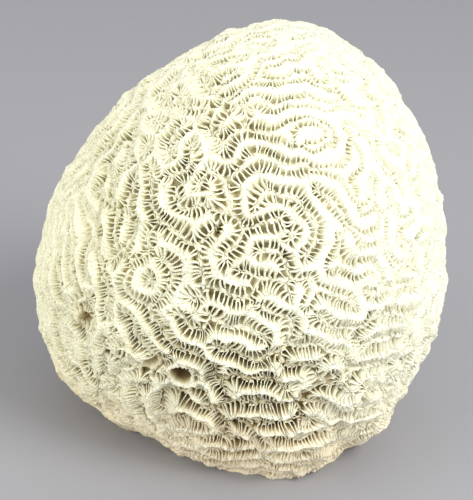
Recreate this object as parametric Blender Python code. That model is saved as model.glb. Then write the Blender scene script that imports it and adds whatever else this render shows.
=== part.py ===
"""Brain coral skeleton: an egg-shaped head covered in meandering walls and valleys, cut flat below."""
import math

import bmesh
import bpy
import numpy as np
from mathutils import Vector
from mathutils.bvhtree import BVHTree
from mathutils.kdtree import KDTree

# Driving dimensions, in metres
MM = 0.001
HALF_WIDTH = 51.5 * MM
HALF_DEPTH = 49.5 * MM
HALF_HEIGHT = 61.0 * MM
CENTRE_ABOVE_BASE = 45.2 * MM
WALL_SPACING = 6.05 * MM
VALLEY_DEPTH = 2.6 * MM
# Facets of the closed head, of which about a tenth fall below the cut base
TRIANGLES = 10400
# A point this near the base plane is moved onto it, so that the cut leaves no slivers
BASE_SNAP = 0.35 * MM

# The side that the photograph shows: the eye stands in front of the head, above it and a little turned
VIEW_ELEVATION = math.radians(25)
VIEW_ROLL = math.radians(6)
EYE_DISTANCE = 0.36
PIXEL_SIZE = 0.2524 * MM
FRAME_CENTRE_PIXEL = (236.5, 250.0)
BODY_CENTRE_PIXEL = (242.0, 252.0)
TOWARDS_EYE = np.array([0, -math.cos(VIEW_ELEVATION), math.sin(VIEW_ELEVATION)])
RIGHT = np.array([1.0, 0, 0])
UP = np.array([0, math.sin(VIEW_ELEVATION), math.cos(VIEW_ELEVATION)])

# The head's outline in the photograph, in its pixels; at the bottom it goes on to just below the cut
OUTLINE = [
    (285, 19), (325, 27), (347, 41), (370, 58), (397, 87), (409, 108), (423, 130), (435, 167), (443, 198),
    (447, 225), (446, 250), (447, 283), (441, 323), (427, 355), (404, 396), (375, 437), (361, 445),
    (352, 447), (338, 459), (318, 475), (284, 486), (248, 479), (208, 473), (186, 463), (168, 450),
    (150, 439), (133, 432), (117, 426), (100, 412), (68, 388), (51, 359), (38, 322), (34, 275),
    (44, 226), (62, 178), (97, 125), (140, 81), (187, 51), (233, 29), (260, 22),
]

# Centre lines of the valleys on the side that the photograph shows, in its pixels
VALLEYS = [
    [(150, 165), (149, 206), (163, 225), (182, 238), (188, 246)],
    [(164, 176), (181, 170), (188, 164), (193, 156), (187, 143)], [(167, 155), (166, 140), (181, 121)],
    [(172, 192), (180, 207), (197, 208)], [(197, 181)], [(208, 167), (222, 175), (235, 219), (245, 233)],
    [(223, 149), (236, 128), (268, 128), (283, 133)], [(215, 210), (224, 214)],
    [(213, 229), (201, 243), (198, 252), (201, 279), (209, 292)],
    [(222, 175), (236, 173), (250, 158), (257, 155), (290, 167), (329, 168), (344, 174)],
    [(283, 125), (297, 121)], [(294, 138)], [(358, 142), (360, 160), (354, 168)],
    [(256, 208), (264, 194), (272, 191), (298, 197), (317, 226), (318, 242), (311, 257)],
    [(248, 231), (284, 219)], [(294, 236)], [(317, 187), (332, 197), (358, 235)],
    [(350, 184), (355, 197)], [(330, 127), (328, 142), (321, 146), (313, 145)], [(308, 121), (315, 121)],
    [(346, 123), (355, 124)], [(147, 231), (141, 256), (137, 262), (129, 262)],
    [(128, 274), (124, 290), (149, 314), (164, 347)],
    [(124, 316), (132, 334), (149, 357), (147, 374), (143, 380)], [(147, 278), (146, 284)],
    [(158, 259), (170, 269), (171, 277), (166, 292), (155, 304)],
    [(209, 292), (219, 291), (234, 297), (250, 297), (256, 288), (256, 278)], [(188, 301), (196, 299)],
    [(177, 317), (188, 328), (204, 333)], [(206, 318), (220, 327), (243, 330), (264, 341)],
    [(172, 352), (195, 359), (207, 368), (216, 391)], [(218, 350), (238, 361), (264, 364)],
    [(245, 233), (222, 261)], [(240, 273), (289, 287)], [(260, 251), (276, 253)],
    [(283, 258), (290, 273), (291, 297)], [(339, 238), (340, 254), (331, 268)],
    [(344, 264), (358, 272), (374, 266)], [(307, 279), (315, 292), (313, 300), (307, 306)],
    [(322, 293), (338, 297), (354, 305), (359, 311)], [(263, 310), (292, 323)],
    [(289, 329), (288, 344), (293, 350), (316, 350)], [(268, 356), (284, 357)],
    [(322, 316), (324, 324), (331, 330), (340, 332), (364, 328), (371, 323), (374, 314)],
    [(322, 347), (345, 358)], [(80, 197), (86, 225), (83, 275)],
    [(92, 221), (95, 251), (104, 288), (104, 315)],
    [(98, 206), (102, 192), (112, 206), (114, 221), (110, 258)], [(122, 248), (124, 257)],
    [(112, 334), (100, 350), (102, 375), (99, 383), (93, 378)], [(83, 354), (87, 370)],
    [(67, 337), (70, 352)], [(113, 359), (118, 367), (115, 392)], [(124, 375), (131, 373), (135, 366)],
    [(69, 208), (69, 228), (73, 236)], [(66, 246), (68, 280)], [(114, 177), (113, 185)],
    [(123, 193), (126, 207)], [(129, 180), (128, 188)], [(129, 223), (128, 238)],
    [(127, 147), (123, 163)], [(120, 142), (128, 133)], [(111, 153), (106, 160)],
    [(101, 163), (105, 171), (103, 178), (92, 191)], [(164, 363), (156, 377)], [(147, 390)],
    [(133, 390), (137, 408), (151, 428)], [(113, 411), (119, 407)],
    [(160, 411), (158, 404), (168, 396), (174, 396), (184, 404)], [(187, 394), (203, 397), (209, 417)],
    [(190, 408), (211, 417), (226, 410), (243, 408), (291, 408), (306, 413)],
    [(160, 422), (184, 421), (203, 430)], [(165, 438), (188, 443)], [(198, 441), (214, 442)],
    [(214, 423), (225, 430), (223, 446)], [(184, 454), (222, 464)],
    [(222, 399), (226, 384), (232, 381), (249, 385), (276, 384), (291, 393)], [(284, 370), (293, 370)],
    [(304, 370), (325, 364)], [(318, 377), (317, 385)], [(331, 381), (338, 380)],
    [(302, 402), (330, 391), (344, 393), (350, 400)], [(314, 408), (353, 413), (374, 407)],
    [(231, 429), (247, 433), (265, 448)], [(232, 444), (248, 447)], [(258, 429), (290, 430)],
    [(262, 441), (280, 444), (342, 431)], [(301, 424), (316, 425)], [(355, 431), (371, 430), (377, 425)],
    [(277, 457), (309, 456)], [(322, 452), (341, 447)], [(232, 464), (270, 467)],
    [(288, 469), (315, 467)], [(350, 364), (353, 394)], [(361, 372), (393, 365)],
    [(367, 389), (390, 392)], [(360, 401), (368, 400)], [(388, 401), (394, 404)],
    [(390, 376), (397, 376)], [(194, 66), (206, 92)], [(213, 82), (212, 89)],
    [(159, 100), (166, 103), (172, 100), (180, 89)], [(183, 104), (206, 107)],
    [(221, 94), (218, 101), (222, 107), (211, 119), (210, 128), (222, 150)],
    [(214, 63), (221, 58), (239, 57)], [(222, 74), (237, 70)], [(244, 84)], [(232, 91)],
    [(237, 104), (247, 112)], [(250, 98), (256, 98)], [(254, 75), (260, 74)], [(262, 66), (263, 60)],
    [(252, 41)], [(162, 83), (174, 72)], [(152, 94), (158, 91)], [(133, 122), (136, 116)],
    [(152, 120), (158, 124)], [(264, 99), (268, 105), (274, 105)], [(279, 102), (294, 100), (335, 107)],
    [(307, 92), (314, 95)], [(292, 71), (295, 79)], [(306, 74), (311, 70)], [(316, 79), (329, 85)],
    [(268, 80)], [(277, 80)], [(332, 91), (339, 93)], [(349, 99), (346, 105)], [(333, 71), (334, 78)],
    [(321, 62), (328, 60)], [(347, 76)], [(362, 108), (367, 113)], [(276, 40)], [(257, 50), (270, 38)],
    [(283, 57), (312, 43)], [(272, 64), (279, 62)], [(371, 133), (377, 156), (393, 172)],
    [(371, 177), (375, 185), (376, 203), (363, 213)], [(391, 193), (399, 216)],
    [(386, 214), (387, 246), (398, 270)], [(403, 184)], [(403, 226), (415, 216)],
    [(421, 237), (428, 233)], [(401, 234), (401, 244)], [(410, 248)], [(365, 236), (378, 238)],
    [(381, 271), (381, 280)], [(370, 294), (378, 297), (392, 290)], [(398, 284), (398, 300)],
    [(407, 288), (414, 286)], [(405, 262), (417, 267)], [(387, 316), (419, 311)], [(357, 344)],
    [(366, 349), (372, 344), (396, 340)], [(405, 334), (417, 347), (414, 355)], [(406, 361), (406, 369)],
    [(354, 120), (357, 128)], [(363, 131)], [(395, 146)], [(411, 162)],
]

# A burrow, then a worn hollow with a smooth lump beside it: pixel, radius and depth (negative for the lump)
DAMAGE = [
    ((176, 375), 1.7 * MM, 5.5 * MM),
    ((75, 290), 1.2 * MM, 1.5 * MM),
    ((79, 318), 1.2 * MM, 1.5 * MM),
    ((76, 329), 1.1 * MM, 1.3 * MM),
    ((67, 296), 2.2 * MM, -0.7 * MM),
]

# The part of its radius over which a hollow rises to the surface
SOFT_RIM = 0.35

# How the valleys grow: the strength of the growth, its rounds, and the seed of the unseen side
GROWTH = 0.35
GUIDED_ROUNDS = 1500
FREE_ROUNDS = 100
GUIDE_PULL = 0.06
# A guide holds what is nearer to it than this part of the wall spacing
GUIDE_REACH = 0.55
SEED = 4
VALLEY_LEVEL = math.sqrt(4 * GROWTH / 3)


def clear_scene():
    for thing in list(bpy.data.objects):
        bpy.data.objects.remove(thing, do_unlink=True)


def closed_curve(angles, values, at):
    """Smooth closed curve through the values at the angles, read at other angles."""
    order = np.argsort(angles)
    turn = 2 * math.pi
    knots = np.concatenate([angles[order] + k * turn for k in (-1, 0, 1)])
    heights = np.tile(values[order], 3)
    slopes = np.gradient(heights, knots)
    i = np.clip(np.searchsorted(knots, at) - 1, 0, len(knots) - 2)
    step = knots[i + 1] - knots[i]
    t = (at - knots[i]) / step
    start = (2 * t**3 - 3 * t**2 + 1) * heights[i] + (t**3 - 2 * t**2 + t) * step * slopes[i]
    end = (3 * t**2 - 2 * t**3) * heights[i + 1] + (t**3 - t**2) * step * slopes[i + 1]
    return start + end


def on_view_plane(pixel, origin):
    """From the origin's pixel to this one, on the plane through the body's centre that faces the eye."""
    right = (pixel[0] - origin[0]) * PIXEL_SIZE
    up = (origin[1] - pixel[1]) * PIXEL_SIZE
    cosine, sine = math.cos(VIEW_ROLL), math.sin(VIEW_ROLL)
    return (right * cosine - up * sine) * RIGHT + (right * sine + up * cosine) * UP


def eye_place():
    return on_view_plane(FRAME_CENTRE_PIXEL, BODY_CENTRE_PIXEL) + EYE_DISTANCE * TOWARDS_EYE


def egg_edge(angle):
    """How far from its centre, on the view plane, the eye sees the egg's edge at these angles."""
    eye = eye_place()
    away = np.cos(angle)[:, None] * RIGHT + np.sin(angle)[:, None] * UP
    inverse = 1 / np.array([HALF_WIDTH, HALF_DEPTH, HALF_HEIGHT])**2
    at_eye = eye @ (inverse * eye)
    mixed = away @ (inverse * eye)
    flat = (at_eye - 1) * (away**2 @ inverse) - mixed**2
    return (np.sqrt(mixed**2 + at_eye * flat) - mixed) / flat


def head_form(directions):
    """Wall tops of the head in these directions from its centre: an egg drawn out to the outline."""
    radii = np.array([HALF_WIDTH, HALF_DEPTH, HALF_HEIGHT])
    points = directions / np.linalg.norm(directions / radii, axis=1)[:, None]
    eye = eye_place()
    enlarged = (EYE_DISTANCE / (EYE_DISTANCE - points @ TOWARDS_EYE))[:, None]
    seen = eye + (points - eye) * enlarged
    across, upward = seen @ RIGHT, seen @ UP
    angle = np.arctan2(upward, across)
    outline = np.array([on_view_plane(pixel, BODY_CENTRE_PIXEL) for pixel in OUTLINE])
    right, up = outline @ RIGHT, outline @ UP
    edge = closed_curve(np.arctan2(up, right), np.hypot(right, up), angle)
    egg = egg_edge(angle)
    near_edge = np.clip(np.hypot(across, upward) / egg, 0, 1)
    near_edge = near_edge**2 * (3 - 2 * near_edge)
    grow = ((edge / egg - 1) * near_edge)[:, None]
    return points + grow * (across[:, None] * RIGHT + upward[:, None] * UP) / enlarged


def seen_from_pixel(pixel):
    """The eye, and the direction in which it sees this pixel of the photograph."""
    eye = eye_place()
    return eye, on_view_plane(pixel, BODY_CENTRE_PIXEL) - eye


def on_surface(surface, pixel):
    """The surface point seen at this pixel, or None beside the head."""
    eye, direction = seen_from_pixel(pixel)
    return surface.ray_cast(Vector(eye), Vector(direction).normalized())[0]


def valley_guides(surface):
    """Closely spaced points along the valley centre lines that the photograph shows."""
    guides = []
    for line in VALLEYS:
        stops = [hit for hit in (on_surface(surface, pixel) for pixel in line) if hit is not None]
        guides += stops[:1]
        for start, end in zip(stops, stops[1:]):
            count = max(2, round((end - start).length / (WALL_SPACING / 10)))
            guides += [start.lerp(end, k / count) for k in range(1, count + 1)]
    return guides


def distance_to(guides, points):
    tree = KDTree(len(guides))
    for index, guide in enumerate(guides):
        tree.insert(guide, index)
    tree.balance()
    return np.array([tree.find(point)[2] for point in points])


def neighbour_columns(faces, count):
    """Six neighbours of each vertex; one with only five counts itself as its sixth."""
    edges = np.concatenate([faces[:, [0, 1]], faces[:, [1, 2]], faces[:, [2, 0]]])
    first = np.searchsorted(np.sort(edges[:, 0]), np.arange(count))
    ordered = edges[np.argsort(edges[:, 0], kind="stable"), 1]
    degree = np.bincount(edges[:, 0], minlength=count)
    return [np.where(k < degree, ordered[np.minimum(first + k, len(ordered) - 1)], np.arange(count))
            for k in range(6)], degree


def grow_valleys(points, faces, guides):
    """Labyrinth over the surface: positive along the valleys, negative along the walls.

    Folds of one spacing grow out of noise, as in the Swift-Hohenberg equation, around the guides."""
    columns, degree = neighbour_columns(faces, len(points))
    reach = sum(((points[column] - points)**2).sum(1) for column in columns) / degree
    weight = 4 / (reach * degree) * (WALL_SPACING / (2 * math.pi))**2

    def spread(field):
        return (sum(field[column] for column in columns) - 6 * field) * weight

    away = distance_to(guides, points)
    guided = away < GUIDE_REACH * WALL_SPACING
    target = VALLEY_LEVEL * np.cos(2 * math.pi * np.clip(away / WALL_SPACING, 0, 0.5))
    field = np.where(guided, target, np.random.default_rng(SEED).normal(0, 0.1, len(points)))
    step = 1.7 / ((9 * weight.max() - 1)**2 + 1)
    for turn in range(GUIDED_ROUNDS + FREE_ROUNDS):
        folded = field + spread(field)
        folded += spread(folded)
        field = field + step * (GROWTH * field - folded - field**3)
        if turn < GUIDED_ROUNDS:
            field += GUIDE_PULL * guided * (target - field)
    return field


def damage(surface, points):
    """How far the burrow and the worn hollow sink each point."""
    sunk = np.zeros(len(points))
    for pixel, radius, depth in DAMAGE:
        away = np.linalg.norm(points - np.array(on_surface(surface, pixel)), axis=1)
        sunk += depth * np.sqrt(np.clip(1 + SOFT_RIM - away / radius, 0, 1))
    return sunk


def outward(points, faces):
    """Unit normals of the vertices."""
    corners = points[faces]
    across = np.cross(corners[:, 1] - corners[:, 0], corners[:, 2] - corners[:, 0])
    normals = np.zeros_like(points)
    for k in range(3):
        np.add.at(normals, faces[:, k], across)
    return normals / np.linalg.norm(normals, axis=1)[:, None]


def coral_mesh():
    """The closed head with its valleys, before the base is cut."""
    ball = bmesh.new()
    bmesh.ops.create_icosphere(ball, subdivisions=7, radius=1)
    directions = np.array([vertex.co for vertex in ball.verts])
    faces = np.array([[vertex.index for vertex in face.verts] for face in ball.faces])
    form = head_form(directions)
    surface = BVHTree.FromPolygons([Vector(point) for point in form], faces.tolist())
    field = grow_valleys(form, faces, valley_guides(surface))
    to_valley = 1 - np.arccos(np.clip(field / VALLEY_LEVEL, -1, 1)) / math.pi
    points = form - outward(form, faces) * (VALLEY_DEPTH * to_valley + damage(surface, form))[:, None]
    points[:, 2] += CENTRE_ABOVE_BASE
    for vertex, point in zip(ball.verts, points):
        vertex.co = point
    mesh = bpy.data.meshes.new("coral_skeleton")
    ball.to_mesh(mesh)
    ball.free()
    return mesh


def simplify(coral):
    """Collapse the surface to the wanted number of facets."""
    decimate = coral.modifiers.new("facets", "DECIMATE")
    decimate.ratio = TRIANGLES / len(coral.data.polygons)
    evaluated = coral.evaluated_get(bpy.context.evaluated_depsgraph_get())
    simple = bpy.data.meshes.new_from_object(evaluated)
    coral.modifiers.remove(decimate)
    coral.data = simple


def flatten(head):
    """Move the points that are close to the base plane onto it."""
    for vertex in head.verts:
        if abs(vertex.co.z) < BASE_SNAP:
            vertex.co.z = 0


def cut_base(coral):
    """Cut the head flat at z = 0 and close the cut."""
    head = bmesh.new()
    head.from_mesh(coral.data)
    flatten(head)
    bmesh.ops.bisect_plane(head, geom=head.verts[:] + head.edges[:] + head.faces[:], dist=1e-7,
                           plane_co=(0, 0, 0), plane_no=(0, 0, 1), clear_inner=True)
    flatten(head)
    bmesh.ops.holes_fill(head, edges=[edge for edge in head.edges if edge.is_boundary])
    bmesh.ops.triangulate(head, faces=[face for face in head.faces if len(face.verts) > 3])
    head.to_mesh(coral.data)
    head.free()


def coral_material():
    material = bpy.data.materials.new("coral")
    material.use_nodes = True
    shader = material.node_tree.nodes["Principled BSDF"]
    shader.inputs["Base Color"].default_value = (0.80, 0.77, 0.62, 1)
    shader.inputs["Roughness"].default_value = 0.9
    shader.inputs["Metallic"].default_value = 0
    return material


def build():
    clear_scene()
    parts = bpy.data.collections.new("brain coral skeleton")
    bpy.context.scene.collection.children.link(parts)
    coral = bpy.data.objects.new("coral_skeleton", coral_mesh())
    parts.objects.link(coral)
    simplify(coral)
    cut_base(coral)
    coral.data.materials.append(coral_material())


build()
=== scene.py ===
"""Looks of the brain coral skeleton: walls, valleys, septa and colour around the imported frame."""
import math

import bmesh
import bpy
import numpy as np
from mathutils import Matrix, Vector, noise
from mathutils.bvhtree import BVHTree
from mathutils.kdtree import KDTree


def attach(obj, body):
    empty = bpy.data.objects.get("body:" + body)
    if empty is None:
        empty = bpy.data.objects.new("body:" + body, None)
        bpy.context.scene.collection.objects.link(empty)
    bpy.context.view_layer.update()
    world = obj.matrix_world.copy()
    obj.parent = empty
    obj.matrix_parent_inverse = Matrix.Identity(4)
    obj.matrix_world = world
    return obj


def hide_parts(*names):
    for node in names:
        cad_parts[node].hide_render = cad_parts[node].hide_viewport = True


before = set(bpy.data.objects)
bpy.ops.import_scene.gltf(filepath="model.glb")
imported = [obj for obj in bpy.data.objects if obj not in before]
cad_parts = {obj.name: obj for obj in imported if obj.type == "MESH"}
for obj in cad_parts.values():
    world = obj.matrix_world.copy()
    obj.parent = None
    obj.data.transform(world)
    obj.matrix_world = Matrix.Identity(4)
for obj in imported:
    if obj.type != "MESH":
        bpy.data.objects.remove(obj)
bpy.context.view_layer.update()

# The head's form, the same as the solid's, in metres
MM = 0.001
HALF_WIDTH = 51.5 * MM
HALF_DEPTH = 49.5 * MM
HALF_HEIGHT = 61.0 * MM
CENTRE_ABOVE_BASE = 45.2 * MM
BODY_CENTRE = Vector((0, 0, CENTRE_ABOVE_BASE))
WALL_SPACING = 6.05 * MM

# The side that the photograph shows: the eye stands in front of the head, above it and a little turned
VIEW_ELEVATION = math.radians(25)
VIEW_ROLL = math.radians(6)
EYE_DISTANCE = 0.36
SENSOR_WIDTH = 36
PIXEL_SIZE = 0.2524 * MM
FRAME_PIXELS = (473, 500)
FRAME_CENTRE_PIXEL = (236.5, 250.0)
BODY_CENTRE_PIXEL = (242.0, 252.0)
TOWARDS_EYE = np.array([0, -math.cos(VIEW_ELEVATION), math.sin(VIEW_ELEVATION)])
RIGHT = np.array([1.0, 0, 0])
UP = np.array([0, math.sin(VIEW_ELEVATION), math.cos(VIEW_ELEVATION)])

# The head's outline in the photograph, in its pixels; at the bottom it goes on to just below the cut
OUTLINE = [
    (285, 19), (325, 27), (347, 41), (370, 58), (397, 87), (409, 108), (423, 130), (435, 167), (443, 198),
    (447, 225), (446, 250), (447, 283), (441, 323), (427, 355), (404, 396), (375, 437), (361, 445),
    (352, 447), (338, 459), (318, 475), (284, 486), (248, 479), (208, 473), (186, 463), (168, 450),
    (150, 439), (133, 432), (117, 426), (100, 412), (68, 388), (51, 359), (38, 322), (34, 275),
    (44, 226), (62, 178), (97, 125), (140, 81), (187, 51), (233, 29), (260, 22),
]

# Centre lines of the valleys on the side that the photograph shows, in its pixels
VALLEYS = [
    [(150, 165), (149, 206), (163, 225), (182, 238), (188, 246)],
    [(164, 176), (181, 170), (188, 164), (193, 156), (187, 143)], [(167, 155), (166, 140), (181, 121)],
    [(172, 192), (180, 207), (197, 208)], [(197, 181)], [(208, 167), (222, 175), (235, 219), (245, 233)],
    [(223, 149), (236, 128), (268, 128), (283, 133)], [(215, 210), (224, 214)],
    [(213, 229), (201, 243), (198, 252), (201, 279), (209, 292)],
    [(222, 175), (236, 173), (250, 158), (257, 155), (290, 167), (329, 168), (344, 174)],
    [(283, 125), (297, 121)], [(294, 138)], [(358, 142), (360, 160), (354, 168)],
    [(256, 208), (264, 194), (272, 191), (298, 197), (317, 226), (318, 242), (311, 257)],
    [(248, 231), (284, 219)], [(294, 236)], [(317, 187), (332, 197), (358, 235)],
    [(350, 184), (355, 197)], [(330, 127), (328, 142), (321, 146), (313, 145)], [(308, 121), (315, 121)],
    [(346, 123), (355, 124)], [(147, 231), (141, 256), (137, 262), (129, 262)],
    [(128, 274), (124, 290), (149, 314), (164, 347)],
    [(124, 316), (132, 334), (149, 357), (147, 374), (143, 380)], [(147, 278), (146, 284)],
    [(158, 259), (170, 269), (171, 277), (166, 292), (155, 304)],
    [(209, 292), (219, 291), (234, 297), (250, 297), (256, 288), (256, 278)], [(188, 301), (196, 299)],
    [(177, 317), (188, 328), (204, 333)], [(206, 318), (220, 327), (243, 330), (264, 341)],
    [(172, 352), (195, 359), (207, 368), (216, 391)], [(218, 350), (238, 361), (264, 364)],
    [(245, 233), (222, 261)], [(240, 273), (289, 287)], [(260, 251), (276, 253)],
    [(283, 258), (290, 273), (291, 297)], [(339, 238), (340, 254), (331, 268)],
    [(344, 264), (358, 272), (374, 266)], [(307, 279), (315, 292), (313, 300), (307, 306)],
    [(322, 293), (338, 297), (354, 305), (359, 311)], [(263, 310), (292, 323)],
    [(289, 329), (288, 344), (293, 350), (316, 350)], [(268, 356), (284, 357)],
    [(322, 316), (324, 324), (331, 330), (340, 332), (364, 328), (371, 323), (374, 314)],
    [(322, 347), (345, 358)], [(80, 197), (86, 225), (83, 275)],
    [(92, 221), (95, 251), (104, 288), (104, 315)],
    [(98, 206), (102, 192), (112, 206), (114, 221), (110, 258)], [(122, 248), (124, 257)],
    [(112, 334), (100, 350), (102, 375), (99, 383), (93, 378)], [(83, 354), (87, 370)],
    [(67, 337), (70, 352)], [(113, 359), (118, 367), (115, 392)], [(124, 375), (131, 373), (135, 366)],
    [(69, 208), (69, 228), (73, 236)], [(66, 246), (68, 280)], [(114, 177), (113, 185)],
    [(123, 193), (126, 207)], [(129, 180), (128, 188)], [(129, 223), (128, 238)],
    [(127, 147), (123, 163)], [(120, 142), (128, 133)], [(111, 153), (106, 160)],
    [(101, 163), (105, 171), (103, 178), (92, 191)], [(164, 363), (156, 377)], [(147, 390)],
    [(133, 390), (137, 408), (151, 428)], [(113, 411), (119, 407)],
    [(160, 411), (158, 404), (168, 396), (174, 396), (184, 404)], [(187, 394), (203, 397), (209, 417)],
    [(190, 408), (211, 417), (226, 410), (243, 408), (291, 408), (306, 413)],
    [(160, 422), (184, 421), (203, 430)], [(165, 438), (188, 443)], [(198, 441), (214, 442)],
    [(214, 423), (225, 430), (223, 446)], [(184, 454), (222, 464)],
    [(222, 399), (226, 384), (232, 381), (249, 385), (276, 384), (291, 393)], [(284, 370), (293, 370)],
    [(304, 370), (325, 364)], [(318, 377), (317, 385)], [(331, 381), (338, 380)],
    [(302, 402), (330, 391), (344, 393), (350, 400)], [(314, 408), (353, 413), (374, 407)],
    [(231, 429), (247, 433), (265, 448)], [(232, 444), (248, 447)], [(258, 429), (290, 430)],
    [(262, 441), (280, 444), (342, 431)], [(301, 424), (316, 425)], [(355, 431), (371, 430), (377, 425)],
    [(277, 457), (309, 456)], [(322, 452), (341, 447)], [(232, 464), (270, 467)],
    [(288, 469), (315, 467)], [(350, 364), (353, 394)], [(361, 372), (393, 365)],
    [(367, 389), (390, 392)], [(360, 401), (368, 400)], [(388, 401), (394, 404)],
    [(390, 376), (397, 376)], [(194, 66), (206, 92)], [(213, 82), (212, 89)],
    [(159, 100), (166, 103), (172, 100), (180, 89)], [(183, 104), (206, 107)],
    [(221, 94), (218, 101), (222, 107), (211, 119), (210, 128), (222, 150)],
    [(214, 63), (221, 58), (239, 57)], [(222, 74), (237, 70)], [(244, 84)], [(232, 91)],
    [(237, 104), (247, 112)], [(250, 98), (256, 98)], [(254, 75), (260, 74)], [(262, 66), (263, 60)],
    [(252, 41)], [(162, 83), (174, 72)], [(152, 94), (158, 91)], [(133, 122), (136, 116)],
    [(152, 120), (158, 124)], [(264, 99), (268, 105), (274, 105)], [(279, 102), (294, 100), (335, 107)],
    [(307, 92), (314, 95)], [(292, 71), (295, 79)], [(306, 74), (311, 70)], [(316, 79), (329, 85)],
    [(268, 80)], [(277, 80)], [(332, 91), (339, 93)], [(349, 99), (346, 105)], [(333, 71), (334, 78)],
    [(321, 62), (328, 60)], [(347, 76)], [(362, 108), (367, 113)], [(276, 40)], [(257, 50), (270, 38)],
    [(283, 57), (312, 43)], [(272, 64), (279, 62)], [(371, 133), (377, 156), (393, 172)],
    [(371, 177), (375, 185), (376, 203), (363, 213)], [(391, 193), (399, 216)],
    [(386, 214), (387, 246), (398, 270)], [(403, 184)], [(403, 226), (415, 216)],
    [(421, 237), (428, 233)], [(401, 234), (401, 244)], [(410, 248)], [(365, 236), (378, 238)],
    [(381, 271), (381, 280)], [(370, 294), (378, 297), (392, 290)], [(398, 284), (398, 300)],
    [(407, 288), (414, 286)], [(405, 262), (417, 267)], [(387, 316), (419, 311)], [(357, 344)],
    [(366, 349), (372, 344), (396, 340)], [(405, 334), (417, 347), (414, 355)], [(406, 361), (406, 369)],
    [(354, 120), (357, 128)], [(363, 131)], [(395, 146)], [(411, 162)],
]

# A burrow, then a worn hollow with a smooth lump beside it: pixel, radius and depth (negative for the lump)
DAMAGE = [
    ((179, 378), 1.9 * MM, 5.5 * MM),
    ((75, 290), 1.2 * MM, 1.5 * MM),
    ((79, 318), 1.2 * MM, 1.5 * MM),
    ((76, 329), 1.1 * MM, 1.3 * MM),
    ((67, 296), 2.2 * MM, -0.7 * MM),
]
# The shallow bowl that holds the worn dents, and two deep pits in the valleys, in the same way
MARKS = [
    ((77, 308), 3.6 * MM, 0.9 * MM),
    ((216, 230), 0.65 * MM, 2 * MM),
    ((287, 259), 0.5 * MM, 2 * MM),
]
# The part of its radius over which a hollow rises to the surface
SOFT_RIM = 0.35
# Between these distances from the burrow's middle the wall round it goes over into the valleys
BURROW_LIP = (2.3 * MM, 3.7 * MM)

# The ball that the head starts from, and how often the grown field is averaged once it is finer
BALL_SUBDIVISIONS = 7
FIELD_SOFTENING = 3

# How the valleys grow: out of how much noise, how strongly, in how many rounds, and up to which level
SEED = 4
START_NOISE = 0.1
GROWTH = 0.35
GUIDED_ROUNDS = 1500
FREE_ROUNDS = 100
VALLEY_LEVEL = math.sqrt(4 * GROWTH / 3)
# The guides' points are this far apart, hold what is within this part of the wall spacing, and pull this much
GUIDE_STEP = WALL_SPACING / 10
GUIDE_REACH = 0.55
GUIDE_PULL = 0.06

# Across a wall and half a valley: place from the wall's middle (0) to the valley's (1), height in mm;
# first where the head is fresh, then worn down to rows of small pits, then open as it is low down
SURFACE_PROFILES = [
    [(0, 0.04), (0.1, 0), (0.19, -0.15), (0.26, -0.5), (0.32, -1.2), (0.4, -2.3), (0.58, -2.9),
     (0.80, -2.8), (0.88, -1.9), (0.95, -1.15), (1, -1)],
    [(0, 0), (0.33, -0.05), (0.4, -0.5), (0.47, -1.4), (0.62, -1.5), (0.7, -0.7), (0.78, -0.2), (1, -0.1)],
    [(0, 0.15), (0.12, 0.05), (0.22, -0.3), (0.30, -1.0), (0.36, -2.2), (0.45, -3.3), (0.6, -3.9),
     (0.84, -3.9), (0.92, -3.2), (1, -2.6)],
]
# The same for the upper edges of the septa
SEPTUM_PROFILES = [
    [(0, -0.1), (0.1, 0.08), (0.22, 0.14), (0.31, 0), (0.4, -0.35), (0.55, -0.65), (0.7, -0.85),
     (0.85, -1), (1, -1.05)],
    [(0, -0.3), (0.2, -0.08), (0.3, 0), (0.6, -0.08), (1, -0.12)],
    [(0, -0.3), (0.12, -0.1), (0.22, -0.15), (0.3, -0.35), (0.38, -0.7), (0.5, -1.2), (0.7, -1.8),
     (0.85, -2.2), (1, -2.5)],
]

# A valley this deep shows the darkest brown, partly the coral's own colour and partly painted shade
DARKEST = 5.3 * MM
# Between these depths a burrow or pit turns dark, partly its own brown and partly painted shade
DARK_DEPTHS = (0.3 * MM, 2.9 * MM)
# Between these its wall turns smooth, and the septa sink out of sight in it by the hiding depth
SMOOTH_DEPTHS = (2.6 * MM, 3.4 * MM)
HIDING_DEPTH = 3 * MM

# The wall's flank, as a place across it. The surface points crowd together there, where it is steep, and the
# least rise, in places per metre, keeps them from sliding far
FLANK_PLACE = 0.35
FLANK_WIDTH = 0.12
FLANK_CROWDING = 0.6
LEAST_RISE = 0.2 / MM

# The grain of the surface in mm, fine and patchy: all over, and much more in the spongy middle of a valley
GRAIN = (0.05, 0.08)
SPONGE_GRAIN = (0.1, 0.3)
GRAIN_SOFTENING = 2
# Between these places a valley turns spongy, and its middle is paler by this part
SPONGE_PLACES = (0.8, 0.92)
SPONGE_PALENESS = 0.4

# Half the width of a fresh wall's top, and how much walls differ in width and height, over what distance
CREST_WIDTH = 0.75 * MM
WIDTH_RANGE = 0.25 * MM
WIDTH_PATCH = 4 * MM
HEIGHT_RANGE = 0.7 * MM
HEIGHT_PATCH = 7 * MM

# The whole pattern wavers: by how much, in waves of what size
WAVES = [(1.05 * MM, 4.5 * MM), (0.22 * MM, 1.3 * MM)]

# Round these pixels the head is fresh; away from them wear leaves the valleys narrower, shallower and paler
FRESH_PIXELS = [(218, 250), (250, 420), (165, 375), (335, 405), (160, 142), (112, 358), (364, 422)]
FRESH_REACH = 8 * MM
WORN_REACH = 38 * MM
# Wear also comes and goes in patches: by how much, of what size, and the least wear anywhere
WEAR_RANGE = 0.4
WEAR_PATCH = 8 * MM
LEAST_WEAR = 0.14
# How much wider wear makes a wall, on each side of its middle
WEAR_WIDTH = 0.4 * MM
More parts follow.
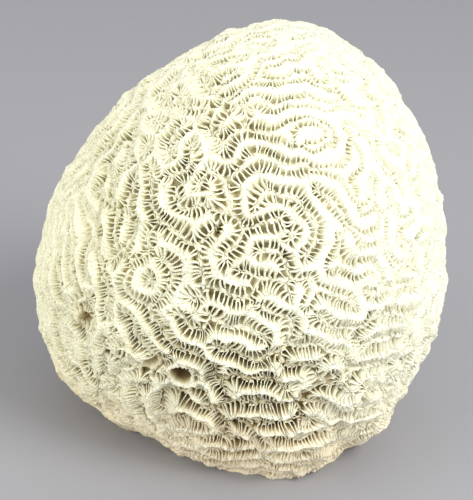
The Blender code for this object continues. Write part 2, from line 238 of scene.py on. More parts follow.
# Behind the head, fully from this far back on, large patches are fresher, by up to this part
BACK_REACH = 25 * MM
BACK_PATCH = 25 * MM
BACK_PATCH_EDGE = (-0.2, 0.3)
BACK_FRESHNESS = 0.5

# Round this pixel, low in front, the valleys are open, less and less between these distances. Open valleys
# lie between narrower walls, and their colour is darkened by this part as painted shade
OPEN_PIXEL = (232, 412)
OPEN_REACH = (12 * MM, 33 * MM)
OPEN_NARROWING = 0.28 * MM
OPEN_PAINTED_SHADE = 0.5

# A wall's or valley's middle line is where the distance from its edges stops rising, at least this far in
MIDDLE_SLOPE = 0.7
MIDDLE_REACH = 0.6 * MM

# Septa are the thin plates that cross each valley from its walls to its middle. They are widest apart and
# thickest round this pixel, and closer and thinner away from it
SEPTUM_MIDDLE_PIXEL = (255, 230)
SEPTUM_FINE_REACH = 32 * MM
SEPTUM_SPACING = (1.22 * MM, 0.93 * MM)
SEPTUM_FINENESS = (1, 0.56)
# How far each may stand from its even place, as a part of the spacing, and the fewest in a closed line
SEPTUM_SHIFT = 0.22
LEAST_SEPTA = 3
# Thickness in mm at places from the wall's middle (0) to the valley's (1), less this part where worn or open
SEPTUM_WIDTHS = [(0.08, 0.2), (0.36, 0.54), (0.6, 0.4), (0.85, 0.42), (1, 0.5)]
SEPTUM_THINNING = 0.38
# How thickness differs from septum to septum and along each, and what part of it top and foot have
SEPTUM_SPREAD = (0.75, 1.25)
SECTION_SPREAD = (0.85, 1.15)
TOP_WIDTH = 0.85
FOOT_WIDTH = 1.15
# Each follows the surface in steps, up to these places in the wall and in the valley
SEPTUM_STEP = 0.3 * MM
STEPS_TO_WALL = 6
STEPS_TO_MIDDLE = 10
SEPTUM_REACH = (0.08, 0.95)
SEPTUM_SECTIONS = 7
# Its inner end turns along the valley, so that neighbours meet in a ragged line
SEPTUM_HOOK = 0.8 * MM
HOOK_SPREAD = (0.5, 1.2)
# Its sideways bend, and how far its foot reaches into the surface
SEPTUM_BEND = 0.07 * MM
SEPTUM_ROOT = 0.4 * MM
# The unevenness of its top: along it, and from one to the next between these places. Wear takes off a part
TOP_UNEVENNESS = 0.05 * MM
TOP_DIFFERENCE = 0.16 * MM
TOP_DIFFERENCE_PLACES = (0.3, 0.9)
WORN_EVENNESS = 0.7
# The upper edges are as pale as the surface at this part of their depth
SEPTUM_PALENESS = 0.28
SEPTUM_PIECES = 4


def smooth_step(values, start, end):
    """0 up to the start, 1 from the end on, and a smooth rise between."""
    t = np.clip((values - start) / (end - start), 0, 1)
    return t**2 * (3 - 2 * t)


def read_profile(profiles, place, wear, open_share):
    """Heights in metres across a wall and half a valley, between the fresh, worn and open profiles."""
    fresh, worn, opened = (np.interp(place, *zip(*profile)) for profile in profiles)
    return (fresh * (1 - wear - open_share) + worn * wear + opened * open_share) * MM


def closed_curve(angles, values, at):
    """Smooth closed curve through the values at the angles, read at other angles."""
    order = np.argsort(angles)
    turn = 2 * math.pi
    knots = np.concatenate([angles[order] + k * turn for k in (-1, 0, 1)])
    heights = np.tile(values[order], 3)
    slopes = np.gradient(heights, knots)
    i = np.clip(np.searchsorted(knots, at) - 1, 0, len(knots) - 2)
    step = knots[i + 1] - knots[i]
    t = (at - knots[i]) / step
    start = (2 * t**3 - 3 * t**2 + 1) * heights[i] + (t**3 - 2 * t**2 + t) * step * slopes[i]
    end = (3 * t**2 - 2 * t**3) * heights[i + 1] + (t**3 - t**2) * step * slopes[i + 1]
    return start + end


def on_view_plane(pixel, origin):
    """From the origin's pixel to this one, on the plane through the body's centre that faces the eye."""
    right = (pixel[0] - origin[0]) * PIXEL_SIZE
    up = (origin[1] - pixel[1]) * PIXEL_SIZE
    cosine, sine = math.cos(VIEW_ROLL), math.sin(VIEW_ROLL)
    return (right * cosine - up * sine) * RIGHT + (right * sine + up * cosine) * UP


def eye_place():
    """Where the eye stands, from the body's centre."""
    return on_view_plane(FRAME_CENTRE_PIXEL, BODY_CENTRE_PIXEL) + EYE_DISTANCE * TOWARDS_EYE


def egg_edge(angle):
    """How far from its centre, on the view plane, the eye sees the egg's edge at these angles."""
    eye = eye_place()
    away = np.cos(angle)[:, None] * RIGHT + np.sin(angle)[:, None] * UP
    inverse = 1 / np.array([HALF_WIDTH, HALF_DEPTH, HALF_HEIGHT])**2
    at_eye = eye @ (inverse * eye)
    mixed = away @ (inverse * eye)
    flat = (at_eye - 1) * (away**2 @ inverse) - mixed**2
    return (np.sqrt(mixed**2 + at_eye * flat) - mixed) / flat


def head_form(directions):
    """Wall tops of the head in these directions from its centre: an egg drawn out to the outline."""
    radii = np.array([HALF_WIDTH, HALF_DEPTH, HALF_HEIGHT])
    points = directions / np.linalg.norm(directions / radii, axis=1)[:, None]
    eye = eye_place()
    enlarged = (EYE_DISTANCE / (EYE_DISTANCE - points @ TOWARDS_EYE))[:, None]
    seen = eye + (points - eye) * enlarged
    across, upward = seen @ RIGHT, seen @ UP
    angle = np.arctan2(upward, across)
    outline = np.array([on_view_plane(pixel, BODY_CENTRE_PIXEL) for pixel in OUTLINE])
    right, up = outline @ RIGHT, outline @ UP
    edge = closed_curve(np.arctan2(up, right), np.hypot(right, up), angle)
    egg = egg_edge(angle)
    near_edge = smooth_step(np.hypot(across, upward) / egg, 0, 1)
    grow = ((edge / egg - 1) * near_edge)[:, None]
    return points + grow * (across[:, None] * RIGHT + upward[:, None] * UP) / enlarged


def seen_from_pixel(pixel):
    """The eye, and the direction in which it sees this pixel of the photograph."""
    eye = eye_place()
    return eye, on_view_plane(pixel, BODY_CENTRE_PIXEL) - eye


def on_surface(surface, pixel):
    """The surface point seen at this pixel, or None beside the head."""
    eye, direction = seen_from_pixel(pixel)
    return surface.ray_cast(Vector(eye), Vector(direction).normalized())[0]


def valley_guides(surface):
    """Closely spaced points along the valley centre lines that the photograph shows."""
    guides = []
    for line in VALLEYS:
        stops = [hit for hit in (on_surface(surface, pixel) for pixel in line) if hit is not None]
        guides += stops[:1]
        for start, end in zip(stops, stops[1:]):
            count = max(2, round((end - start).length / GUIDE_STEP))
            guides += [start.lerp(end, k / count) for k in range(1, count + 1)]
    return guides


def distance_to(guides, points):
    """How far each point lies from the nearest guide."""
    tree = KDTree(len(guides))
    for index, guide in enumerate(guides):
        tree.insert(guide, index)
    tree.balance()
    return np.array([tree.find(point)[2] for point in points])


def neighbour_columns(faces, count):
    """Six neighbours of each vertex, and their number; one with only five counts itself as its sixth."""
    edges = np.concatenate([faces[:, [0, 1]], faces[:, [1, 2]], faces[:, [2, 0]]])
    first = np.searchsorted(np.sort(edges[:, 0]), np.arange(count))
    ordered = edges[np.argsort(edges[:, 0], kind="stable"), 1]
    degree = np.bincount(edges[:, 0], minlength=count)
    return [np.where(k < degree, ordered[np.minimum(first + k, len(ordered) - 1)], np.arange(count))
            for k in range(6)], degree


def grow_valleys(points, faces, guides):
    """Labyrinth over the surface: positive along the valleys, negative along the walls.

    Folds of one spacing grow out of noise, as in the Swift-Hohenberg equation, around the guides."""
    columns, degree = neighbour_columns(faces, len(points))
    reach = sum(((points[column] - points)**2).sum(1) for column in columns) / degree
    weight = 4 / (reach * degree) * (WALL_SPACING / (2 * math.pi))**2

    def spread(field):
        return (sum(field[column] for column in columns) - 6 * field) * weight

    away = distance_to(guides, points)
    guided = away < GUIDE_REACH * WALL_SPACING
    target = VALLEY_LEVEL * np.cos(2 * math.pi * np.clip(away / WALL_SPACING, 0, 0.5))
    field = np.where(guided, target, np.random.default_rng(SEED).normal(0, START_NOISE, len(points)))
    # Nearly the longest step that stays steady: the mesh's sharpest ripple spreads with 9 times the weight
    step = 1.7 / ((9 * weight.max() - 1)**2 + 1)
    for turn in range(GUIDED_ROUNDS + FREE_ROUNDS):
        folded = field + spread(field)
        folded += spread(folded)
        field = field + step * (GROWTH * field - folded - field**3)
        if turn < GUIDED_ROUNDS:
            field += GUIDE_PULL * guided * (target - field)
    return field


def damage(surface, points):
    """How far the burrow, the worn hollow and the smaller marks sink each point."""
    sunk = np.zeros(len(points))
    for pixel, radius, depth in DAMAGE + MARKS:
        away = np.linalg.norm(points - np.array(on_surface(surface, pixel)), axis=1)
        sunk += depth * np.sqrt(np.clip(1 + SOFT_RIM - away / radius, 0, 1))
    return sunk


def outward(points, faces):
    """Unit normals of the vertices."""
    corners = points[faces]
    across = np.cross(corners[:, 1] - corners[:, 0], corners[:, 2] - corners[:, 0])
    normals = np.zeros_like(points)
    for k in range(3):
        np.add.at(normals, faces[:, k], across)
    return normals / np.linalg.norm(normals, axis=1)[:, None]


def ball(subdivisions):
    """Directions and faces of an icosphere."""
    sphere = bmesh.new()
    bmesh.ops.create_icosphere(sphere, subdivisions=subdivisions, radius=1)
    directions = np.array([vertex.co for vertex in sphere.verts])
    faces = np.array([[vertex.index for vertex in face.verts] for face in sphere.faces])
    sphere.free()
    return directions, faces


def edges_of(faces):
    """The edges of the faces, and which of them are each face's first, second and third."""
    sides = np.sort(np.concatenate([faces[:, [0, 1]], faces[:, [1, 2]], faces[:, [2, 0]]]), axis=1)
    edges, index = np.unique(sides, axis=0, return_inverse=True)
    return edges, index.reshape(3, -1)


def refine(directions, faces, field):
    """Each face in four, its new points on the sphere, the field carried along."""
    edges, index = edges_of(faces)
    middles = directions[edges].sum(1)
    middles /= np.linalg.norm(middles, axis=1)[:, None]
    ab, bc, ca = len(directions) + index
    a, b, c = faces.T
    quarters = ((a, ab, ca), (ab, b, bc), (ca, bc, c), (ab, bc, ca))
    faces = np.concatenate([np.stack(quarter, axis=1) for quarter in quarters])
    return np.vstack([directions, middles]), faces, np.concatenate([field, field[edges].mean(1)])


def soften(values, columns, rounds):
    """The values, averaged this often with their neighbours'."""
    for _ in range(rounds):
        values = (values + sum(values[column] for column in columns) / 6) / 2
    return values


def slopes(points, faces, field):
    """The field's gradient along the surface at each vertex."""
    a, b, c = (points[faces[:, k]] for k in range(3))
    across = np.cross(b - a, c - a)
    double_area = np.linalg.norm(across, axis=1)[:, None]
    at_a, at_b, at_c = (field[faces[:, k:k + 1]] for k in range(3))
    edge_sum = (c - b) * at_a + (a - c) * at_b + (b - a) * at_c
    weighted = np.cross(across, edge_sum) / double_area
    total, weight = np.zeros_like(points), np.zeros((len(points), 1))
    for k in range(3):
        np.add.at(total, faces[:, k], weighted)
        np.add.at(weight, faces[:, k], double_area)
    return total / weight


def patches(points, size):
    """Smooth noise at the points, about -1 to 1, with lumps of this size."""
    return np.array([noise.noise(Vector(point) / size) for point in points])


def wavering(points):
    """The points, each moved a little, neighbours alike."""
    moved = points.reshape(-1, 3)
    for reach, size in WAVES:
        moved = moved + reach * np.array([noise.noise_vector(Vector(point) / size) for point in moved])
    return moved.reshape(points.shape)


def crossings(points, faces, field):
    """The number of each face's edges, which edges cross between wall and valley, and where they do."""
    edges, index = edges_of(faces)
    start, end = field[edges[:, 0]], field[edges[:, 1]]
    crossed = (start > 0) != (end > 0)
    share = (start / np.where(crossed, start - end, 1))[:, None]
    spots = points[edges[:, 0]] * (1 - share) + points[edges[:, 1]] * share
    return index.T, crossed, spots


def search_tree(points, faces):
    """The surface, ready for rays and for nearest points."""
    return BVHTree.FromPolygons([Vector(point) for point in points], faces.tolist())


class Head:
    """The wall-top form with its labyrinth, and what can be read at any point of it."""

    def __init__(self):
        directions, faces = ball(BALL_SUBDIVISIONS)
        coarse = head_form(directions)
        field = grow_valleys(coarse, faces, valley_guides(search_tree(coarse, faces)))
        directions, self.faces, field = refine(directions, faces, field)
        self.points = head_form(directions)
        self.columns, _ = neighbour_columns(self.faces, len(self.points))
        self.field = soften(field, self.columns, FIELD_SOFTENING)
        self.slope = slopes(self.points, self.faces, self.field)
        self.normal = outward(self.points, self.faces)
        self.edge_index, self.crossed, self.crossings = crossings(self.points, self.faces, self.field)
        self.tree = search_tree(self.points, self.faces)
        self.low = HEIGHT_RANGE * (patches(self.points, HEIGHT_PATCH) + 1) / 2
        self.wear = self.worn()
        self.open = (1 - self.wear) * (1 - smooth_step(self.away_from([OPEN_PIXEL]), *OPEN_REACH))
        self.place = self.across()
        self.sunk = damage(self.tree, self.points)

    def away_from(self, pixels):
        """How far each point lies from what is seen at the nearest of these pixels."""
        return distance_to([on_surface(self.tree, pixel) for pixel in pixels], self.points)

    def worn(self):
        """How worn each point is, up to 1."""
        wear = smooth_step(self.away_from(FRESH_PIXELS), FRESH_REACH, WORN_REACH)
        back = smooth_step(self.points[:, 1], 0, BACK_REACH)
        wear *= 1 - BACK_FRESHNESS * back * smooth_step(patches(self.points, BACK_PATCH), *BACK_PATCH_EDGE)
        return np.clip(wear + WEAR_RANGE * patches(self.points, WEAR_PATCH), LEAST_WEAR, 1)

    def across(self):
        """Each point's place from the middle of its wall (0) to the middle of its valley (1)."""
        crest = CREST_WIDTH - OPEN_NARROWING * self.open + WEAR_WIDTH * self.wear
        crest += WIDTH_RANGE * patches(self.points, WIDTH_PATCH)
        from_wall, from_valley = self.from_middle(self.field < 0), self.from_middle(self.field > 0)
        beyond = np.maximum(from_wall - crest, 0)
        flank = 1 - (1 - FLANK_PLACE) * from_valley / (beyond + from_valley + 1e-9)
        place = np.where(beyond > 0, flank, FLANK_PLACE * from_wall / crest)
        burrow = np.array(on_surface(self.tree, DAMAGE[0][0]))
        return place * smooth_step(np.linalg.norm(self.points - burrow, axis=1), *BURROW_LIP)

    def from_middle(self, inside):
        """How far each point lies from the middle lines of the walls, or of the valleys."""
        reach = np.where(inside, distance_to(self.crossings[self.crossed], self.points), 0)
        level = np.linalg.norm(slopes(self.points, self.faces, reach), axis=1) < MIDDLE_SLOPE
        return distance_to(self.points[inside & level & (reach > MIDDLE_REACH)], self.points)

    def read(self, at):
        """Nearest surface points, and a way to read any values there."""
        hits = [self.tree.find_nearest(point) for point in at]
        spots = np.array([hit[0] for hit in hits])
        corners = self.faces[[hit[2] for hit in hits]]
        a, b, c = (self.points[corners[:, k]] - spots for k in range(3))
        pairs = ((b, c), (c, a), (a, b))
        shares = np.stack([np.linalg.norm(np.cross(*pair), axis=1) for pair in pairs], axis=1)
        shares /= shares.sum(1)[:, None]

        def mixed(values):
            return np.einsum("ij,ij...->i...", shares, values[corners])

        return spots, mixed


def boundary_loops(head):
    """Closed lines half-way between wall and valley, each as its points in order."""
    crossed = head.crossed
    links = {}
    for face_edges in head.edge_index[crossed[head.edge_index].sum(1) == 2]:
        one, other = face_edges[crossed[face_edges]]
        links.setdefault(one, []).append(other)
        links.setdefault(other, []).append(one)
    loops, used = [], set()
    for first in sorted(links):
        line, current = [], first
        while current is not None and current not in used:
            used.add(current)
            line.append(current)
            current = next((other for other in links[current] if other not in used), None)
        if len(line) > 2:
            loops.append(head.crossings[line + line[:1]])
    return loops


def finer_outward(head, at, values):
    """The first value in the middle of the front, going over to the second away from it."""
    middle = np.array(on_surface(head.tree, SEPTUM_MIDDLE_PIXEL))
    return np.interp(np.linalg.norm(at - middle, axis=-1), [0, SEPTUM_FINE_REACH], values)


def septum_roots(head, rng):
    """Where each septum crosses the line between wall and valley."""
    roots = []
    for loop in boundary_loops(head):
        steps = np.linalg.norm(np.diff(loop, axis=0), axis=1)
        along = np.concatenate([[0], np.cumsum(steps / finer_outward(head, loop[1:], SEPTUM_SPACING))])
        count = max(LEAST_SEPTA, round(along[-1]))
        shift = rng.uniform(-SEPTUM_SHIFT, SEPTUM_SHIFT, count)
        at = (np.arange(count) + shift) / count * along[-1] % along[-1]
        roots.append(np.stack([np.interp(at, along, loop[:, k]) for k in range(3)], axis=1))
    return np.concatenate(roots)


def follow(head, roots, way, steps):
    """Walk from the roots up the field to the valley's middle (way 1), or down it to the wall's (way -1)."""
    here, mixed = head.read(roots)
    value, slope = mixed(head.field), mixed(head.slope)
    moving = np.ones(len(here), bool)
    path = [here]
    for _ in range(steps):
        direction = way * slope / np.linalg.norm(slope, axis=1)[:, None]
        there, mixed = head.read(here + direction * SEPTUM_STEP)
        new_value, new_slope, place = mixed(head.field), mixed(head.slope), mixed(head.place)
        moving &= (way * (new_value - value) > 0) & (place > SEPTUM_REACH[0]) & (place < SEPTUM_REACH[1])
        here = np.where(moving[:, None], there, here)
        value, slope = np.where(moving, new_value, value), np.where(moving[:, None], new_slope, slope)
        path.append(here)
    return np.stack(path, axis=1)


def hooked(head, paths, rng):
    """The paths with one more point each, beside the end, along the valley."""
    _, mixed = head.read(paths[:, -1])
    ahead = paths[:, -1] - paths[:, 0]
    beside = np.cross(mixed(head.normal), ahead)
    beside /= np.linalg.norm(beside, axis=1)[:, None]
    turn = rng.choice([-1, 1], len(paths)) * rng.uniform(*HOOK_SPREAD, len(paths)) * SEPTUM_HOOK
    return np.concatenate([paths, (paths[:, -1] + beside * turn[:, None])[:, None]], axis=1)


def evenly(paths, count):
    """Each path again, with this many points at equal distances along it."""
    even = np.empty((len(paths), count, 3))
    steps = np.linalg.norm(np.diff(paths, axis=1), axis=2)
    along = np.concatenate([np.zeros((len(paths), 1)), np.cumsum(steps, axis=1)], axis=1)
    for i, (path, reach) in enumerate(zip(paths, along)):
        at = np.linspace(0, reach[-1], count)
        for k in range(3):
            even[i, :, k] = np.interp(at, reach, path[:, k])
    return even


def septum_paths(head, rng):
    """Lines over the surface that the septa follow, from within the wall to the valley's middle."""
    roots = septum_roots(head, rng)
    inward = follow(head, roots, 1, STEPS_TO_MIDDLE)
    paths = np.concatenate([follow(head, roots, -1, STEPS_TO_WALL)[:, :0:-1], inward], axis=1)
    paths = paths[np.linalg.norm(paths[:, -1] - paths[:, 0], axis=1) > SEPTUM_STEP]
    return evenly(hooked(head, paths, rng), SEPTUM_SECTIONS)


def septum_half_widths(place, thinned, rng):
    """Half of each septum's thickness at its sections, thinner where the head is worn or open."""
    half = np.interp(place, *zip(*SEPTUM_WIDTHS)) * MM / 2
    half = half * rng.uniform(*SEPTUM_SPREAD, (len(place), 1)) * rng.uniform(*SECTION_SPREAD, place.shape)
    return half * (1 - SEPTUM_THINNING * thinned)


def septum_tops(place, wear, opened, rng):
    """Heights of the septa's upper edges, uneven except where worn."""
    along = rng.normal(0, TOP_UNEVENNESS, place.shape)
    each = rng.normal(0, TOP_DIFFERENCE, (len(place), 1)) * smooth_step(place, *TOP_DIFFERENCE_PLACES)
    top = read_profile(SEPTUM_PROFILES, place, wear, opened)
    return top + (1 - WORN_EVENNESS * wear) * (along + each)


def septum_prisms(head, rng):
    """Points and depths of all septa: four corners at each section of each plate."""
    paths = septum_paths(head, rng)
    shape = paths.shape[:2]
    _, mixed = head.read(paths.reshape(-1, 3))
    place, sunk, wear, low, opened = (mixed(values).reshape(shape) for values in
                                      (head.place, head.sunk, head.wear, head.low, head.open))
    normal = mixed(head.normal).reshape(*shape, 3)
    normal /= np.linalg.norm(normal, axis=2)[..., None]
    side = np.cross(normal, np.gradient(paths, axis=1))
    side /= np.linalg.norm(side, axis=2)[..., None] + 1e-12
    bend = rng.normal(0, SEPTUM_BEND, (len(paths), 1)) * np.sin(np.linspace(0, math.pi, SEPTUM_SECTIONS))
    paths = paths + side * bend[..., None]
    half = septum_half_widths(place, wear + opened, rng) * finer_outward(head, paths, SEPTUM_FINENESS)
    top = septum_tops(place, wear, opened, rng)
    foot = read_profile(SURFACE_PROFILES, place, wear, opened) - SEPTUM_ROOT
    hidden = HIDING_DEPTH * smooth_step(sunk, *SMOOTH_DEPTHS)
    corners = []
    for height, wide in ((top, TOP_WIDTH), (top, -TOP_WIDTH), (foot, -FOOT_WIDTH), (foot, FOOT_WIDTH)):
        lifted = height - low - sunk - hidden
        corners.append(paths + normal * lifted[..., None] + side * (half * wide)[..., None])
    points = wavering(np.stack(corners, axis=2))
    # The depth that colours the septa: browner towards the foot, partly as painted shade
    pale = SEPTUM_PALENESS * top
    below = np.stack([pale, pale, foot, foot], axis=2) / DARKEST
    depth = smooth_step(sunk, *DARK_DEPTHS)[..., None] - below
    whole = points[..., 2].min((1, 2)) > -CENTRE_ABOVE_BASE
    return points[whole], depth[whole]


def prism_faces(count, sections):
    """Quads of this many four-cornered prisms."""
    quads = []
    for section in range(sections - 1):
        for k in range(4):
            here, there = 4 * section, 4 * section + 4
            quads.append((here + k, here + (k + 1) % 4, there + (k + 1) % 4, there + k))
    last = 4 * (sections - 1)
    quads += [(3, 2, 1, 0), (last, last + 1, last + 2, last + 3)]
    return (np.array(quads)[None] + (np.arange(count) * 4 * sections)[:, None, None]).reshape(-1, 4)


def surface_points(head, rng):
    """The wall and valley surface with its grain, and how deep each point lies."""
    flank = head.place - FLANK_PLACE
    crowd = -FLANK_CROWDING * flank * np.exp(-(flank / FLANK_WIDTH)**2)
    rise = slopes(head.points, head.faces, head.place)
    slid = head.points + rise * (crowd / np.maximum((rise**2).sum(1), LEAST_RISE**2))[:, None]
    place = head.place + crowd
    patchy = soften(rng.normal(0, 1, len(slid)), head.columns, GRAIN_SOFTENING)
    patchy /= patchy.std()
    fine = rng.normal(0, 1, len(slid))
    spongy = smooth_step(place, *SPONGE_PLACES)
    heights = read_profile(SURFACE_PROFILES, place, head.wear, head.open)
    rough = spongy * (1 - head.wear) + np.clip(head.sunk / MM, 0, 1)
    sponge = SPONGE_GRAIN[1] * patchy + SPONGE_GRAIN[0] * fine
    heights += (GRAIN[0] * fine + GRAIN[1] * patchy + rough * sponge) * MM
    smooth = smooth_step(head.sunk, *SMOOTH_DEPTHS)
    # The depth that colours the surface: the pits' olive brown deepens with depth, partly as painted shade
    depth = -heights * (1 - SPONGE_PALENESS * spongy) * (1 - smooth)
    # Painted shade: the open valleys low in front are darkened further
    depth = depth * (1 + OPEN_PAINTED_SHADE * head.open) / DARKEST + smooth_step(head.sunk, *DARK_DEPTHS)
    heights = heights * (1 - smooth) - head.sunk
    return wavering(slid + head.normal * (heights - head.low)[:, None]), depth


def mesh_with_depth(name, points, faces, depth):
    """A mesh of these faces whose points carry their depth for the material."""
    mesh = bpy.data.meshes.new(name)
    mesh.from_pydata(points.tolist(), [], faces.tolist())
    mesh.attributes.new("depth", "FLOAT", "POINT").data.foreach_set("value", depth.astype(np.float32))
    return mesh


def add_piece(name, points, faces, depth, material):
    """A visible piece of the coral, in place of the solid."""
    mesh = mesh_with_depth(name, points, faces, depth)
    mesh.shade_smooth()
    mesh.materials.append(material)
    piece = bpy.data.objects.new(name, mesh)
    bpy.context.scene.collection.objects.link(piece)
    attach(piece, "root")
    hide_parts("coral_skeleton")


def cut_flat(points, faces, depth):
    """The surface above the base plane: its points, depths, triangles and the triangles of the cut face."""
    mesh = mesh_with_depth("whole", points, faces, depth)
    whole = bmesh.new()
    whole.from_mesh(mesh)
    bmesh.ops.bisect_plane(whole, geom=whole.verts[:] + whole.edges[:] + whole.faces[:], dist=1e-8,
                           plane_co=(0, 0, 0), plane_no=(0, 0, 1), clear_inner=True)
    rim = [edge for edge in whole.edges if edge.is_boundary]
    for face in bmesh.ops.holes_fill(whole, edges=rim)["faces"]:
        face.material_index = 1
    bmesh.ops.triangulate(whole, faces=[face for face in whole.faces if len(face.verts) > 3])
    whole.to_mesh(mesh)
    whole.free()
    points, depth = np.empty(3 * len(mesh.vertices)), np.empty(len(mesh.vertices), np.float32)
    corners, cut = np.empty(3 * len(mesh.polygons), int), np.empty(len(mesh.polygons), int)
    mesh.vertices.foreach_get("co", points)
    mesh.attributes["depth"].data.foreach_get("value", depth)
    mesh.loops.foreach_get("vertex_index", corners)
    mesh.polygons.foreach_get("material_index", cut)
    bpy.data.meshes.remove(mesh)
    corners = corners.reshape(-1, 3)
    return points.reshape(-1, 3), depth, corners[cut == 0], corners[cut == 1]


def add_part(name, points, depth, faces, material):
    """A piece made of some of the faces, with only the points that they use."""
    used, index = np.unique(faces, return_inverse=True)
    add_piece(name, points[used], index.reshape(-1, 3), depth[used], material)


def add_surface(head, rng, coral, cut_coral):
    """The walls and valleys in a front and a back piece, and the flat cut underneath."""
    points, depth = surface_points(head, rng)
    points = points + [0, 0, CENTRE_ABOVE_BASE]
    above = points[head.faces][..., 2].max(1) > -MM
    points, depth, faces, cut = cut_flat(points, head.faces[above], depth)
    front = points[faces].mean(1)[:, 1] < 0
    add_part("walls_front", points, depth, faces[front], coral)
    add_part("walls_back", points, depth, faces[~front], coral)
    add_part("base_cut", points, depth, cut, cut_coral)


def add_septa(head, rng, material):
    """The septa in pieces of even size, from the left of the head round to its right."""
    points, depth = septum_prisms(head, rng)
    points = points + [0, 0, CENTRE_ABOVE_BASE]
    turn = np.arctan2(points[:, 0, 0, 1], points[:, 0, 0, 0])
    for number, chosen in enumerate(np.array_split(np.argsort(turn, kind="stable"), SEPTUM_PIECES)):
        group = points[chosen].reshape(-1, 3)
        add_piece(f"septa_{number + 1}", group, prism_faces(len(chosen), SEPTUM_SECTIONS),
                  depth[chosen].ravel(), material)


class Shading:
    """A material's nodes, with a short way to add one."""

    def __init__(self, name):
        self.material = bpy.data.materials.new(name)
        self.material.use_nodes = True
        self.tree = self.material.node_tree
        self.shader = self.tree.nodes["Principled BSDF"]

    def add(self, kind, inputs=None, **settings):
        """A node of this kind; its inputs are values or other nodes' outputs."""
        node = self.tree.nodes.new("ShaderNode" + kind)
        for name, value in settings.items():
            setattr(node, name, value)
        self.fill(node, inputs or {})
        return node

    def fill(self, node, inputs):
        """Set or link the node's inputs."""
        for name, value in inputs.items():
            if isinstance(value, bpy.types.NodeSocket):
                self.tree.links.new(value, node.inputs[name])
            else:
                node.inputs[name].default_value = value

    def between(self, value, start, end):
        """0 where the value is at the start or before, 1 from the end on."""
        inputs = {"Value": value, "From Min": start, "From Max": end, "To Min": 0, "To Max": 1}
        return self.add("MapRange", inputs).outputs["Result"]

    def times(self, one, other):
        """The product of two values."""
        return self.add("Math", {0: one, 1: other}, operation="MULTIPLY").outputs["Value"]

    def tinted(self, colour, tint, share):
        """The colour, multiplied by the tint where the share is 1."""
        inputs = {"A": colour, "B": (*tint, 1), "Factor": share}
        return self.add("Mix", inputs, data_type="RGBA", blend_type="MULTIPLY").outputs["Result"]


def depth_colour(shading, depth):
    """The colour from the tops of the walls down to the deepest pits: cream to olive brown, the darkening
    partly the coral's own colour and partly painted shade.
    """
    ramp = shading.add("ValToRGB", {"Fac": depth})
    shades = ramp.color_ramp.elements
    shades[0].position, shades[0].color = 0.03, (0.87, 0.87, 0.74, 1)
    shades[1].position, shades[1].color = 1.0, (0.165, 0.115, 0.05, 1)
    shades.new(0.18).color = (0.82, 0.805, 0.64, 1)
    shades.new(0.38).color = (0.64, 0.58, 0.395, 1)
    shades.new(0.56).color = (0.49, 0.43, 0.26, 1)
    shades.new(0.75).color = (0.30, 0.24, 0.13, 1)
    return ramp.outputs["Color"]


def coral_material():
    """Chalky cream with fine pores along the walls, olive brown in the pits and darker with depth partly as
    painted shade; a painted cream-yellow shade tone on the left, painted pinkish shade and reflection low
    down, and a painted warm reflection near the base.
    """
    shading = Shading("coral")
    place = shading.add("TexCoord").outputs["Object"]
    depth = shading.add("Attribute", attribute_name="depth").outputs["Fac"]
    colour = depth_colour(shading, depth)
    blotches = shading.add("TexNoise", {"Vector": place, "Scale": 55, "Detail": 3}).outputs["Fac"]
    colour = shading.tinted(colour, (0.97, 0.955, 0.88), blotches)
    across = shading.add("SeparateXYZ", {"Vector": place})
    # Painted shade: the left side is tinted cream-yellow, the tone of its shaded side
    left_painted_shade = shading.between(across.outputs["X"], 10 * MM, -45 * MM)
    colour = shading.tinted(colour, (0.98, 0.965, 0.87), left_painted_shade)
    # Painted shade and painted reflection: deep parts low down are darkened with a pinkish brown
    low = shading.between(across.outputs["Z"], 55 * MM, 12 * MM)
    low_shade_and_reflection = shading.times(low, shading.between(depth, 0.1, 0.5))
    colour = shading.tinted(colour, (0.74, 0.65, 0.56), low_shade_and_reflection)
    # Painted reflection: the surface near the base is tinted pinkish, as by warm light bounced up from below
    rim = shading.between(across.outputs["Z"], 30 * MM, 2 * MM)
    colour = shading.tinted(colour, (1, 0.895, 0.80), rim)
    cells = shading.add("TexVoronoi", {"Vector": place, "Scale": 1900}).outputs["Distance"]
    pores = shading.times(shading.between(cells, 0.40, 0.16), shading.between(depth, 0.16, 0.03))
    colour = shading.tinted(colour, (0.80, 0.77, 0.67), pores)
    grain = shading.add("TexNoise", {"Vector": place, "Scale": 2600, "Detail": 3}).outputs["Fac"]
    relief = shading.add("Math", {0: grain, 1: pores}, operation="SUBTRACT").outputs["Value"]
    bump = shading.add("Bump", {"Height": relief, "Strength": 0.6, "Distance": 0.15 * MM})
    shading.fill(shading.shader, {"Base Color": colour, "Normal": bump.outputs["Normal"], "Roughness": 0.9,
                                  "Specular IOR Level": 0.25})
    return shading.material


def cut_material():
    """The sawn face: pale, with the pores of the skeleton showing as darker specks."""
    shading = Shading("cut_coral")
    place = shading.add("TexCoord").outputs["Object"]
    cells = shading.add("TexVoronoi", {"Vector": place, "Scale": 900}).outputs["Distance"]
    cloud = shading.add("TexNoise", {"Vector": place, "Scale": 90, "Detail": 4}).outputs["Fac"]
    pale = shading.add("Mix", {"A": (0.80, 0.76, 0.60, 1), "B": (0.66, 0.60, 0.44, 1), "Factor": cloud},
                       data_type="RGBA").outputs["Result"]
    colour = shading.tinted(pale, (0.5, 0.44, 0.32), shading.between(cells, 0.4, 0.15))
    bump = shading.add("Bump", {"Height": cells, "Strength": 0.5, "Distance": 0.2 * MM})
    shading.fill(shading.shader, {"Base Color": colour, "Normal": bump.outputs["Normal"], "Roughness": 0.92,
                                  "Specular IOR Level": 0.2})
    return shading.material


def add_floor():
    """A plain matt floor under the coral."""
    bpy.ops.mesh.primitive_plane_add(size=6, location=(0, 0, 0))
    floor = bpy.context.object
    floor.name = "floor"
    shading = Shading("floor")
    shading.fill(shading.shader, {"Base Color": (0.34, 0.335, 0.355, 1), "Roughness": 0.9})
    floor.data.materials.append(shading.material)


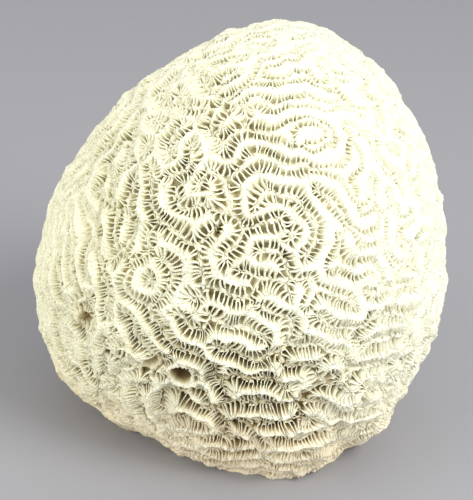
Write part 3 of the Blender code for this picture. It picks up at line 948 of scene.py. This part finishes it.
def add_camera():
    """The eye of the photograph: its distance, tilt and turn, framed on the whole picture."""
    data = bpy.data.cameras.new("camera")
    data.sensor_width = SENSOR_WIDTH
    data.lens = SENSOR_WIDTH * EYE_DISTANCE / (max(FRAME_PIXELS) * PIXEL_SIZE)
    data.clip_start = 0.01
    camera = bpy.data.objects.new("camera", data)
    bpy.context.scene.collection.objects.link(camera)
    eye, ahead = seen_from_pixel(FRAME_CENTRE_PIXEL)
    # Any pixel above the middle shows which way is up
    _, above = seen_from_pixel((FRAME_CENTRE_PIXEL[0], FRAME_CENTRE_PIXEL[1] - 100))
    back = -Vector(ahead).normalized()
    right = Vector(above).cross(back).normalized()
    turn = Matrix((right, back.cross(right), back)).transposed()
    camera.matrix_world = Matrix.Translation(Vector(eye) + BODY_CENTRE) @ turn.to_4x4()
    bpy.context.scene.camera = camera


def add_light(name, place, size, power, colour):
    """A soft square light that faces the coral."""
    data = bpy.data.lights.new(name, "AREA")
    data.size = size
    data.energy = power
    data.color = colour
    light = bpy.data.objects.new(name, data)
    light.location = place
    light.rotation_euler = (BODY_CENTRE - Vector(place)).to_track_quat("-Z", "Y").to_euler()
    bpy.context.scene.collection.objects.link(light)


def add_studio():
    """Light from the upper right, with much of it scattered, as in a bright room."""
    add_light("key", (0.50, -0.40, 0.66), 0.45, 5.7, (1, 1, 0.97))
    add_light("fill", (-0.85, -0.55, 0.20), 0.8, 6.2, (1, 1, 0.98))
    add_light("low_left", (-0.80, -0.60, 0.10), 0.6, 2.5, (1, 0.98, 0.95))
    add_light("low_right", (0.75, -0.70, 0.12), 0.6, 3.0, (1, 0.98, 0.95))
    world = bpy.data.worlds.new("studio")
    world.use_nodes = True
    background = world.node_tree.nodes["Background"]
    background.inputs["Color"].default_value = (0.95, 0.97, 1, 1)
    background.inputs["Strength"].default_value = 0.75
    bpy.context.scene.world = world
    bpy.context.scene.view_settings.view_transform = "Standard"


def main():
    """The coral and its studio."""
    rng = np.random.default_rng(SEED)
    noise.seed_set(SEED)
    head = Head()
    coral = coral_material()
    add_surface(head, rng, coral, cut_material())
    add_septa(head, rng, coral)
    add_floor()
    add_camera()
    add_studio()


main()
